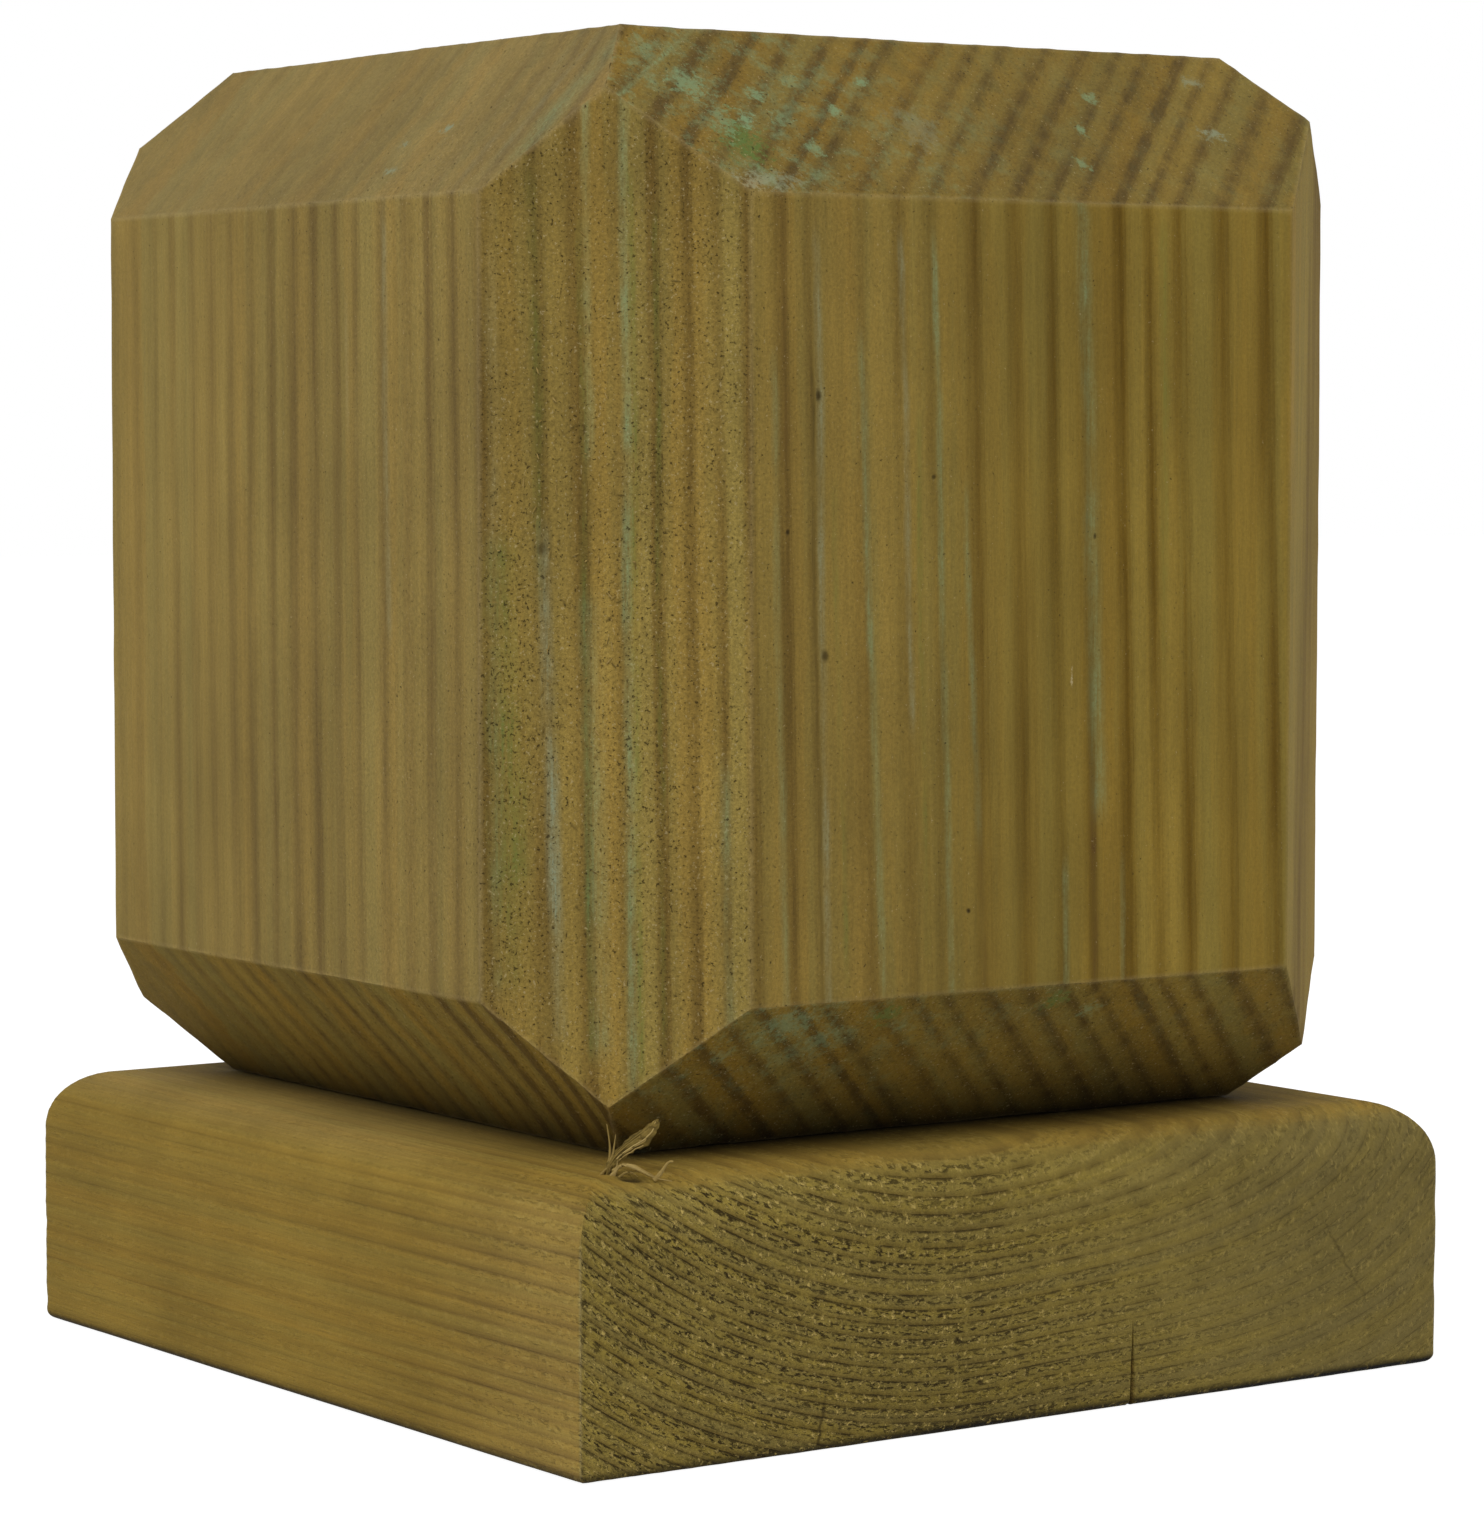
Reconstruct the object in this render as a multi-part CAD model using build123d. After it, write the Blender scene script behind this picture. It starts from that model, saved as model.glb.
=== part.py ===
"""Wooden post cap: a cube block with all its edges bevelled, fixed on a square base plate.

Millimetres, +Z up. The origin is the middle of the plate's underside, the face that sits
on the post. -Y is the front, the plate's end-grain side, and -X is its long-grain side.
"""
import os

from build123d import *

# Base plate, a planed board with its four top edges rounded over
PLATE_SIDE = 100.0
PLATE_THICKNESS = 25.8
ROUND_OVER = 6.0
UNDERSIDE_EASE = 1.0

# Block, one length of square post with upright grain, set a little askew on the plate
BLOCK_WIDTH = 97.0
BLOCK_DEPTH = 98.5
BLOCK_HEIGHT = 101.4
BLOCK_SHIFT_X = 0.4
BLOCK_SHIFT_Y = -0.2
BLOCK_TWIST = -0.7

# Bevels of the block's twelve edges. Each was sawn by hand, so no two are quite alike.
# The first length lies on the first face named, the second on the other face.
BEVELS = {
    ("left", "front"): (17.4, 17.4),
    ("right", "front"): (16.2, 17.6),
    ("right", "back"): (13.6, 13.6),
    ("left", "back"): (10.8, 10.8),
    ("top", "left"): (13.7, 15.1),
    ("top", "front"): (15.4, 15.4),
    ("top", "right"): (13.9, 13.9),
    ("top", "back"): (11.4, 11.4),
    ("foot", "left"): (12.9, 14.3),
    ("foot", "front"): (14.3, 14.3),
    ("foot", "right"): (12.9, 12.9),
    ("foot", "back"): (11.6, 11.6),
}

# Drying check, a crack across the end grain that opens at the plate's underside
CHECK_X = 11.7
CHECK_HEIGHT = 8.2
CHECK_WIDTH = 0.7
CHECK_DEPTH = 10.0

# Two countersunk wood screws, driven up through the plate into the block
SCREW_DIAMETER = 5.0
SCREW_LENGTH = 50.0
SCREW_TIP_LENGTH = 7.0
SCREW_TIP_DIAMETER = 0.6
HEAD_DIAMETER = 9.6
HEAD_RIM = 0.6
HEAD_SINK = 1.5
SCREW_OFF_CENTRE = 17.0

# Cross recess in a screw's head
RECESS_SPAN = 5.0
RECESS_SLOT = 1.2
RECESS_DEPTH = 2.4

# Play of the screws in the plate's holes
SHANK_PLAY = 0.2
RIM_PLAY = 0.2

# How far a cutting shape runs past the face it opens
OVERRUN = 1.0


def make_base_plate():
    """Square plate: rounded top edges, mitred where two meet, and a check in the end grain."""
    plate = Box(PLATE_SIDE, PLATE_SIDE, PLATE_THICKNESS, align=(Align.CENTER, Align.CENTER, Align.MIN))
    plate = fillet(plate.faces().sort_by(Axis.Z)[-1].edges(), ROUND_OVER)
    plate = fillet(plate.faces().sort_by(Axis.Z)[0].edges(), UNDERSIDE_EASE)
    return plate - drying_check()


def drying_check():
    """Crack as a thin upright wedge, widest at the underside."""
    half = CHECK_WIDTH / 2
    outline = Polyline((-half, -OVERRUN), (half, -OVERRUN), (half, 0), (0, CHECK_HEIGHT), (-half, 0), close=True)
    front = Plane(origin=(CHECK_X, CHECK_DEPTH - PLATE_SIDE / 2, 0), x_dir=(1, 0, 0), z_dir=(0, -1, 0))
    return extrude(front * make_face(outline), CHECK_DEPTH + OVERRUN)


def make_block():
    """Block about its own middle, one saw plane for each bevelled edge."""
    faces = {
        "left": (Vector(-1, 0, 0), BLOCK_WIDTH / 2),
        "right": (Vector(1, 0, 0), BLOCK_WIDTH / 2),
        "front": (Vector(0, -1, 0), BLOCK_DEPTH / 2),
        "back": (Vector(0, 1, 0), BLOCK_DEPTH / 2),
        "top": (Vector(0, 0, 1), BLOCK_HEIGHT / 2),
        "foot": (Vector(0, 0, -1), BLOCK_HEIGHT / 2),
    }
    block = Box(BLOCK_WIDTH, BLOCK_DEPTH, BLOCK_HEIGHT)
    for (first, second), (leg_on_first, leg_on_second) in BEVELS.items():
        normal_first, reach_first = faces[first]
        normal_second, reach_second = faces[second]
        start = normal_first * reach_first + normal_second * (reach_second - leg_on_first)
        slope = normal_first * (1 / leg_on_second) + normal_second * (1 / leg_on_first)
        block = split(block, bisect_by=Plane(origin=start, z_dir=slope), keep=Keep.BOTTOM)
    return block


def place_block(block):
    """Stand the block on the plate, with its small shift and twist."""
    middle = PLATE_THICKNESS + BLOCK_HEIGHT / 2
    return Pos(BLOCK_SHIFT_X, BLOCK_SHIFT_Y, middle) * Rot(0, 0, BLOCK_TWIST) * block


def screw_body(shank_play=0.0, rim_play=0.0, open_below=0.0):
    """Countersunk screw on the Z axis, its head's flat at the sink's depth, or the hole for it."""
    radius = SCREW_DIAMETER / 2 + shank_play
    rim = HEAD_DIAMETER / 2 + rim_play
    cone_start = HEAD_SINK + HEAD_RIM
    cone_end = cone_start + rim - radius
    tip = HEAD_SINK + SCREW_LENGTH
    outline = Polyline(
        (0, HEAD_SINK - open_below),
        (rim, HEAD_SINK - open_below),
        (rim, cone_start),
        (radius, cone_end),
        (radius, tip - SCREW_TIP_LENGTH),
        (SCREW_TIP_DIAMETER / 2, tip),
        (0, tip),
        close=True,
    )
    return revolve(Plane.XZ * make_face(outline), Axis.Z)


def cross_recess():
    """Two crossing slots in the head's flat."""
    middle = HEAD_SINK + (RECESS_DEPTH - OVERRUN) / 2
    slot = Box(RECESS_SPAN, RECESS_SLOT, RECESS_DEPTH + OVERRUN)
    return Pos(0, 0, middle) * (slot + Rot(0, 0, 90) * slot)


def main():
    """Make each piece, cut the holes that the screws hold in, and write one file for each."""
    places = {
        "fixing_screw_left": Pos(-SCREW_OFF_CENTRE, SCREW_OFF_CENTRE, 0),
        "fixing_screw_right": Pos(SCREW_OFF_CENTRE, -SCREW_OFF_CENTRE, 0),
    }
    plate = make_base_plate()
    block = place_block(make_block())
    hole = screw_body(SHANK_PLAY, RIM_PLAY, HEAD_SINK + OVERRUN)
    pieces = {}
    for name, place in places.items():
        plate -= place * hole
        block -= place * screw_body()
        pieces[name] = place * (screw_body() - cross_recess())
    pieces["base_plate"] = plate
    pieces["bevelled_block"] = block

    os.makedirs("parts", exist_ok=True)
    for name, piece in pieces.items():
        piece.label = name
        export_step(piece, f"parts/{name}.step")


main()
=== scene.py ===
"""Looks of a wooden post cap: a bevelled block of upright-grained pine on a square pine plate.

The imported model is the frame. The block and the plate are fine copies of their CAD solids with
the relief of sawn and planed wood pressed inwards, so they stay inside the solids. Lengths are
metres in Blender and millimetres in the tables below, in the CAD's own frame: -Y is the plate's
end-grain front and -X is its long-grain side.
"""
import math
from functools import partial

import bmesh
import bpy
import numpy as np
from mathutils import Matrix, Vector


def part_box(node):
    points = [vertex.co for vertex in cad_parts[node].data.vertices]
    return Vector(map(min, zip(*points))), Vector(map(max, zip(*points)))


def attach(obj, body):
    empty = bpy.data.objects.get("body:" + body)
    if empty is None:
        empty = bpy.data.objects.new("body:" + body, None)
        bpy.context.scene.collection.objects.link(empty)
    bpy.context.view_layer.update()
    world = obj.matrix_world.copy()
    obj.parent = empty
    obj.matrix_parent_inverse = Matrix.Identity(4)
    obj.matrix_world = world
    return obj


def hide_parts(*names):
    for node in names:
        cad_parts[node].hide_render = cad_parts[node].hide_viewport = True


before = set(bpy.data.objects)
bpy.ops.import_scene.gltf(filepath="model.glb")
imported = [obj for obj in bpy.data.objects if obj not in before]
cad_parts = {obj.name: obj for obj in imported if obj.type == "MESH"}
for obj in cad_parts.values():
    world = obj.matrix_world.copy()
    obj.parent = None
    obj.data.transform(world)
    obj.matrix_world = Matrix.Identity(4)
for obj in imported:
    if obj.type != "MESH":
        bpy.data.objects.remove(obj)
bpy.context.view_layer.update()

bl_info = {
    "name": "Wooden post cap",
    "version": (1, 0, 0),
    "blender": (4, 5, 0),
    "location": "3D View > Sidebar > Post Cap",
    "description": "Dresses the post cap's CAD frame in pressure-treated pine",
    "category": "Object",
}

MM = 0.001

# Camera from the perspective fit of the photograph, millimetres and degrees
PHOTO_SIZE = (1484, 1515)
FOCAL_PIXELS = 4922.8
CAMERA_AZIMUTH = -35.169
CAMERA_ELEVATION = 3.690
CAMERA_ROLL = 0.031
CAMERA_DISTANCE = 490.226
AIM_SIDEWAYS = 1.819
AIM_HEIGHT = 58.568
SENSOR = 36.0

# Block: where its faces lie in plan
BLOCK_LEFT = -48.1
BLOCK_FRONT = -49.45
NEAR_ARRIS = -32.05
MID_HEIGHT = 76.0
# Block: how much the growth lines lean towards the back as they rise
GRAIN_LEAN = 0.019

# Block: its faces, each with how strong its lines are, how rough the saw left it and how pale it dried
BLOCK_FACES = {
    "front": ((0, -1, 0), 0.92, 0.25, 0.0),
    "left": ((-1, 0, 0), 1.1, 0.18, 0.16),
    "near": ((-1, -1, 0), 1.05, 1.0, 0.08),
    "top_front": ((0, -1, 1), 1.15, 0.6, 0.04),
    "top_left": ((-1.1, 0, 1), 0.25, 0.35, 0.22),
    "foot_front": ((0, -1, -1), 1.15, 0.85, 0.0),
    "foot_left": ((-1.1, 0, -1), 0.8, 0.55, 0.0),
    "right": ((1, 0, 0), 0.9, 0.15, 0.12),
    "back": ((0, 1, 0), 0.9, 0.15, 0.1),
    "top": ((0, 0, 1), 0.8, 0.5, 0.15),
}

# Block: dark latewood lines as measured along the left face, the near bevel and the front face,
# each with its strength and the tone of the wood after it, from -1, brown, to 1, golden
LINES_LEFT_Y = (
    (25.4, 0.9, 0.0), (21.5, 0.9, 0.1), (17.6, 0.9, 0.1), (13.6, 0.9, 0.0), (9.7, 0.8, -0.1),
    (5.7, 0.9, -0.2), (1.1, 1.0, -0.2), (-2.6, 1.1, -0.2), (-6.9, 1.0, 0.0), (-10.5, 0.9, 0.4),
    (-15.1, 0.8, 0.3), (-19.4, 0.8, 0.2), (-23.3, 1.1, 0.0), (-27.6, 0.8, -0.1), (-31.8, 1.0, -0.3),
)
LINES_NEAR_X = (
    (-44.6, 0.8, -0.1), (-42.0, 1.0, 0.2), (-39.3, 0.6, 0.3), (-37.0, 1.15, -0.2), (-34.9, 1.1, 0.1),
    (-33.0, 0.8, 0.3), (-31.2, 1.0, 0.0),
)
LINES_FRONT_X = (
    (-27.7, 1.1, -0.3), (-25.0, 0.8, -0.1), (-19.2, 0.6, 0.1), (-14.7, 0.7, 0.1), (-11.4, 0.7, -0.1),
    (-6.2, 0.9, -0.2), (-1.6, 0.9, -0.4), (2.8, 0.8, -0.2), (6.1, 0.8, -0.4), (11.0, 1.25, 0.4),
    (14.3, 0.9, 0.4), (18.0, 0.9, 0.4), (23.2, 1.0, 0.2), (28.9, 1.1, 0.1),
)
DARK_SHARE = 0.84
OTHER_LINES = 0.6
# Block: how dark the wood is through one ring, from 0 where it starts to 1, the next ring's start
BLOCK_RING = ((0.0, 0.34), (0.12, 0.08), (0.3, 0.0), (0.52, 0.12), (0.7, 0.68), (0.84, 1.0), (0.94, 0.66))
# Block: mesh steps in mm across the grain, up it, and at the heights where the near arrises end
BLOCK_STEP = 0.75
BLOCK_STEP_UP = 2.2
CORNER_STEP = 0.7
CORNER_HEIGHTS = (40.1, 112.0)

# Plate: its growth rings are round about a pith line that runs along Y above the plate
PLATE_PITH = (-6.6, 74.0)
PLATE_FIRST_RADIUS = 46.0
RING_WIDE = 0.75
RING_NARROW = 1.08
RING_FADE = 17.0
PLATE_RING = ((0.0, 0.15), (0.25, 0.0), (0.55, 0.4), (0.75, 1.0), (0.9, 0.9), (0.98, 0.2))
# Plate: its rounded top edges, how far in the block's foot stands, and the mesh steps in mm
ROUND_OVER = 6.0
FOOT_INSET = 14.3
PLATE_STEP = 0.5
PLATE_STEP_DEEP = 1.1
# Plate: its rows of pits and of fibre ends, each as rows a ring, dashes a mm, the detail and roughness
# of their noise, and the levels between which they rise
TORN_ROWS = ((4.2, 1.1, 3.0, 0.65, 0.475, 0.385), (2.6, 1.9, 2.0, 0.6, 0.55, 0.66))
# Plate: the pits from which the tuft of splinters was torn, in plan
TORN_PITS = ((-42.1, -45.2), (-41.1, -45.6))
# Plate: hairline cracks in its front, in the form of the streaks below
HAIR_CRACKS = (
    (-2.0, -25.0, 3.0, -24.2, 0.2, 0.75), (-2.0, 0.7, 0.0, 0.3, 0.16, 0.55),
    (9.5, 39.3, 13.5, 36.6, 0.2, 0.4),
)

# Painted shade where block and plate meet, and how many mm it takes to fade to a third
CONTACT_SHADE = 4.0
FOOT_SHADE_REACH = 2.5
PLATE_SHADE_REACH = 4.8
# Wood: its six tints, on long grain and on end grain
WOOD_TINTS = ("early", "green", "late", "end_early", "end_green", "end_late")
# Wood: how matt it is, how far wear reaches from an arris in mm, and the bend that stays sharp
WOOD_ROUGHNESS = 0.85
WOOD_SPECULAR = 0.13
WEAR_REACH = 0.4
SHARP_BEND = math.radians(33)

# Streaks fade out over this many mm at each end
STREAK_FADE = 4.0
# Streaks by face and kind: foot height and place across the face in mm, top height and place, half
# width, strength. Across the near bevel the place is counted from its left arris.
STREAKS = {
    ("near", "slate"): ((43, 0.9, 110, 0.5, 0.6, 0.2), (40, 6.5, 80, 5.2, 0.6, 0.95)),
    ("near", "moss"): (
        (44, 2.1, 79, 1.5, 1.6, 0.8), (38, 9.4, 108, 8.5, 0.35, 0.6), (78, 4.9, 112, 4.2, 0.5, 0.6),
        (35, 13.9, 112, 13.1, 0.35, 0.7), (38, 16.0, 108, 15.3, 0.3, 0.5),
    ),
    ("near", "copper"): (
        (38, 10.3, 74, 9.4, 0.9, 0.4), (36, 22.0, 60, 21.5, 0.5, 0.4), (90, 9.3, 119, 9.0, 0.4, 0.5),
        (35, 13.2, 119, 12.4, 0.45, 0.7),
    ),
    ("front", "slate"): ((41, -23.0, 106, -24.3, 0.4, 0.59), (66, -13.8, 106, -15.1, 0.36, 0.5)),
    ("front", "dark"): ((41, -23.6, 96, -24.9, 0.22, 0.7), (60, 6.8, 98, 5.7, 0.25, 0.4)),
    ("front", "copper"): (
        (41, -27.6, 95, -29.0, 0.4, 0.35), (43, -17.0, 97, -19.5, 0.38, 0.5),
        (41, -9.3, 106, -11.4, 0.36, 0.55), (56, -6.4, 84, -7.8, 0.36, 0.4),
        (58, 7.6, 112, 5.3, 0.85, 0.6), (41, 3.9, 49, 3.8, 0.35, 0.5), (41, 10.5, 49, 10.5, 0.3, 0.39),
    ),
    ("front", "resin"): (
        (41, 7.3, 60, 6.8, 0.45, 0.81), (89, -27.7, 112, -27.9, 0.5, 0.45),
        (41, -5.5, 62, -6.6, 0.4, 0.45),
    ),
    ("front", "moss"): (
        (44, -21.0, 84, -22.4, 0.35, 0.4), (44, -12.0, 90, -13.2, 0.35, 0.45),
        (70, 15.4, 108, 15.0, 0.5, 0.4),
    ),
    ("left", "slate"): ((74, -15.7, 111, -15.0, 0.5, 0.37), (93, -8.5, 101, -8.2, 0.35, 0.31)),
    ("top_front", "copper"): ((120.5, -39.0, 124.8, -31.0, 0.5, 0.7),),
    ("top_left", "copper"): ((115, -33.5, 125, -35.5, 1.6, 0.5),),
    ("top_left", "slate"): ((115, -27.0, 124, -27.6, 0.6, 0.35), (115, -30.2, 124, -31.0, 0.6, 0.3)),
    ("top_left", "resin"): ((117, -21.5, 124, -22.0, 0.5, 0.25),),
}

# Spots by face and kind: place across the face and height in mm, half width, half height, strength
SPOTS = {
    ("front", "dark"): (
        (-24.3, 94.0, 0.35, 0.6, 0.9), (-23.3, 71.0, 0.45, 0.6, 0.8), (-27.4, 82.0, 0.22, 0.28, 1.0),
        (-11.5, 86.8, 0.25, 0.25, 0.8), (-7.4, 47.5, 0.25, 0.25, 1.0), (7.1, 81.3, 0.2, 0.3, 0.8),
    ),
    ("front", "pale"): ((4.4, 68.4, 0.15, 0.7, 0.9),),
    ("near", "grime"): (
        (2.5, 68.0, 3.5, 17.0, 1.0), (15.0, 84.0, 2.5, 10.0, 0.8), (13.5, 60.0, 4.0, 14.0, 0.6),
        (3.0, 47.0, 3.0, 7.0, 1.0),
    ),
    ("near", "dark"): ((5.1, 80.5, 0.6, 0.7, 0.6),),
    ("left", "grime"): ((-30.5, 58.0, 2.5, 16.0, 0.9),),
    ("top_front", "moss"): ((-28.8, 116.4, 2.6, 2.4, 1.0),),
    ("top_front", "slate"): (
        (-28.5, 112.9, 4.2, 0.9, 0.6), (-8.5, 118.2, 2.6, 2.4, 0.3), (27.0, 119.0, 1.6, 0.7, 0.8),
        (28.8, 124.4, 1.2, 0.6, 0.6),
    ),
    ("top_front", "copper"): (
        (-27.3, 118.4, 1.3, 1.0, 0.9), (-24.4, 121.0, 1.3, 0.7, 0.8), (-21.6, 116.0, 1.0, 0.9, 0.7),
        (-16.6, 119.8, 0.8, 0.9, 0.8), (-11.5, 122.6, 1.1, 0.5, 0.8), (-31.0, 121.6, 2.4, 1.6, 0.75),
        (-30.0, 118.4, 1.5, 2.0, 0.6), (-23.4, 118.6, 1.6, 0.8, 0.55), (-19.5, 122.4, 1.4, 0.8, 0.5),
        (11.0, 119.0, 0.8, 0.7, 0.7), (14.6, 122.2, 0.9, 0.6, 0.6), (8.5, 115.5, 0.9, 0.7, 0.6),
    ),
    ("top_front", "pale"): ((-30.5, 112.6, 2.2, 0.8, 0.5),),
    ("foot_front", "copper"): (
        (-26.0, 38.2, 3.4, 1.8, 0.5), (-21.0, 36.2, 3.0, 1.6, 0.4), (9.0, 37.2, 1.2, 0.8, 0.4),
    ),
    ("foot_front", "moss"): ((-15.5, 38.5, 1.8, 1.0, 0.7), (4.0, 38.6, 1.6, 0.9, 0.7)),
    ("top_left", "slate"): (
        (-11.2, 117.2, 0.9, 0.35, 0.9), (-16.9, 118.3, 1.0, 0.4, 0.9), (-12.3, 114.6, 1.2, 0.4, 0.9),
    ),
}


def linear(hex_code):
    """sRGB hex colour as linear RGBA."""
    parts = [int(hex_code[i:i + 2], 16) / 255 for i in (1, 3, 5)]
    return tuple(p / 12.92 if p <= 0.04045 else ((p + 0.055) / 1.055) ** 2.4 for p in parts) + (1.0,)


def add_node(tree, kind, inputs=None, **settings):
    """Add a shader node with its settings. An input that is a node or a socket is joined, else set."""
    node = tree.nodes.new("ShaderNode" + kind)
    for name, value in settings.items():
        setattr(node, name, value)
    for socket, value in (inputs or {}).items():
        if isinstance(value, bpy.types.Node):
            value = next(s for s in value.outputs if s.enabled)
        if isinstance(value, bpy.types.NodeSocket):
            tree.links.new(value, node.inputs[socket])
        else:
            node.inputs[socket].default_value = value
    return node


def set_stops(node, stops, interpolation="LINEAR"):
    """Give a colour ramp its stops: (position, hex colour or grey level)."""
    ramp = node.color_ramp
    ramp.interpolation = interpolation
    while len(ramp.elements) > 1:
        ramp.elements.remove(ramp.elements[-1])
    for index, (position, value) in enumerate(stops):
        element = ramp.elements[0] if index == 0 else ramp.elements.new(position)
        element.position = position
        element.color = linear(value) if isinstance(value, str) else (value, value, value, 1.0)


def soft_noise(points, sizes, seed):
    """Smooth noise from -1 to 1 at points in mm, with lumps of these sizes along x, y and z."""
    lattice = np.random.default_rng(seed).uniform(-1, 1, (32, 32, 32))
    place = points / np.asarray(sizes, float)
    low = np.floor(place).astype(int)
    share = place - low
    share = share * share * (3 - 2 * share)
    total = np.zeros(len(points))
    for corner in np.ndindex(2, 2, 2):
        weight = np.prod(np.where(corner, share, 1 - share), axis=1)
        at = (low + corner) % 32
        total += weight * lattice[at[:, 0], at[:, 1], at[:, 2]]
    return total


def ease(value, low, high):
    """0 below low, 1 above high, smooth between."""
    share = np.clip((value - low) / (high - low), 0, 1)
    return share * share * (3 - 2 * share)


def block_field(x, y):
    """Growth of the block's tree in plan, in rings: two sets of near-straight rings that meet in a bend."""
    left = -0.035 * x - 0.245 * y
    front = 0.222 * x - 0.305 * y + 8.1
    return (left + front) / 2 + np.sqrt(((left - front) / 2) ** 2 + 0.36)


def block_rings(points):
    """Ring number, line strength and wood tone of points of the block, as they were measured."""
    height = points[:, 2] - MID_HEIGHT
    far = ease(points[:, 1], -30, 45)
    wander = soft_noise(points, (26, 26, 45), 11) * 0.35
    x = points[:, 0] + wander
    y = points[:, 1] - GRAIN_LEAN * height + wander
    edge = BLOCK_LEFT + NEAR_ARRIS
    marks = [(block_field(BLOCK_LEFT, place), *look) for place, *look in LINES_LEFT_Y]
    marks += [(block_field(place, edge - place), *look) for place, *look in LINES_NEAR_X]
    marks += [(block_field(place, BLOCK_FRONT), *look) for place, *look in LINES_FRONT_X]
    fields, strengths, tones = np.array(marks).T
    numbers = np.arange(len(marks)) + DARK_SHARE
    fields = np.concatenate(([fields[0] - 40], fields, [fields[-1] + 40]))
    numbers = np.concatenate(([numbers[0] - 40], numbers, [numbers[-1] + 40]))
    field = block_field(x, y) + far * soft_noise(points, (30, 30, 60), 12) * 0.8
    rings = np.interp(field, fields, numbers)
    nearest = np.clip(np.round(rings - DARK_SHARE).astype(int), -1, len(marks))
    strengths = np.concatenate((strengths, [OTHER_LINES, OTHER_LINES]))
    middles = np.arange(len(marks)) + DARK_SHARE + 0.5
    return rings, strengths[nearest], np.interp(rings, middles, tones, 0.0, 0.0)


def block_finish(places, normals):
    """Line strength, saw roughness and paleness of each point, by the face that it lies on."""
    weights = []
    for direction, *finish in BLOCK_FACES.values():
        unit = np.array(direction, float) / np.linalg.norm(direction)
        weights.append(np.clip(normals @ unit - 0.7, 0, 1) ** 3)
    weights = np.array(weights) + 1e-4
    weights /= weights.sum(axis=0)
    values = np.array([finish[1:] for finish in BLOCK_FACES.values()])
    lines, sawn, dried = values.T @ weights
    x, y = places[:, 0], places[:, 1]
    on_left = normals[:, 0] < -0.6
    lines *= np.where(on_left, 1 - 0.45 * ease(y, 2, 40), 1 - 0.15 * ease(x, 14, 36))
    lines *= np.where(on_left & (np.abs(normals[:, 2]) > 0.3), 1 + 2.0 * ease(-y, 20, 34), 1.0)
    sawn += 0.5 * (1 - sawn) * ease(-x - 0.6 * y, 30, 60)
    dried += 0.07 * ease(-x, -4, 22) * (normals[:, 1] < -0.95)
    return lines, sawn, dried


def plate_rings(points):
    """Ring number and place along the ring: rings narrow away from the pith and widen to the right."""
    x = points[:, 0] - PLATE_PITH[0]
    z = PLATE_PITH[1] - points[:, 2]
    radius = np.hypot(x, z) + soft_noise(points, (22, 90, 14), 21) * 0.35
    step = (radius - PLATE_FIRST_RADIUS) / RING_FADE
    rings = RING_FADE / RING_NARROW * np.log(
        (RING_NARROW * np.exp(step) + RING_WIDE) / (RING_NARROW + RING_WIDE)
    )
    turn = np.arctan2(x, z)
    return rings * (1 - 0.34 * ease(np.degrees(turn), 4, 42)), turn * radius


def refined_copy(node_name, cuts):
    """Mesh of a CAD node, welded and cut by planes at these heights on each axis, and its flat faces."""
    mesh = bmesh.new()
    mesh.from_mesh(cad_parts[node_name].data)
    bmesh.ops.remove_doubles(mesh, verts=mesh.verts, dist=1e-6)
    bmesh.ops.dissolve_limit(mesh, angle_limit=0.005, verts=mesh.verts, edges=mesh.edges)
    planes = [(f.normal.copy(), f.calc_center_median()) for f in mesh.faces if f.calc_area() > 5e-5]
    for axis, levels in enumerate(cuts):
        normal = Vector((0, 0, 0))
        normal[axis] = 1
        for level in levels:
            at = normal * (level * MM)
            geometry = mesh.verts[:] + mesh.edges[:] + mesh.faces[:]
            bmesh.ops.bisect_plane(mesh, geom=geometry, dist=1e-7, plane_co=at, plane_no=normal)
    bmesh.ops.triangulate(mesh, faces=[f for f in mesh.faces if len(f.verts) > 4])
    mesh.normal_update()
    return mesh, planes


def steps(low, high, size):
    """Even cuts between two places, about size apart."""
    count = max(1, round((high - low) / size))
    return [low + (high - low) * (i + 0.5) / count for i in range(count)]


def points_and_normals(mesh):
    """Vertex places in mm and vertex normals as arrays."""
    places = np.array([v.co for v in mesh.verts]) / MM
    normals = np.array([v.normal for v in mesh.verts])
    return places, normals


def arris_distance(places, planes):
    """Distance in mm from each point of a flat-faced solid to the nearest arris, along the surface."""
    normals = np.array([p[0] for p in planes])
    offsets = np.array([p[0].dot(p[1]) for p in planes]) / MM
    depth = offsets[None, :] - places @ normals.T
    own = np.argmin(np.abs(depth), axis=1)
    cosine = normals[own] @ normals.T
    sine = np.sqrt(np.clip(1 - cosine**2, 1e-6, 1))
    reach = np.abs(depth) / sine
    reach[sine < 0.1] = 1e3
    return reach.min(axis=1)


def press_in(mesh, normals, depth):
    """Move each vertex inwards by its depth in mm."""
    for vertex, normal, amount in zip(mesh.verts, normals, depth):
        vertex.co -= Vector(normal) * float(amount) * MM


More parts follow.
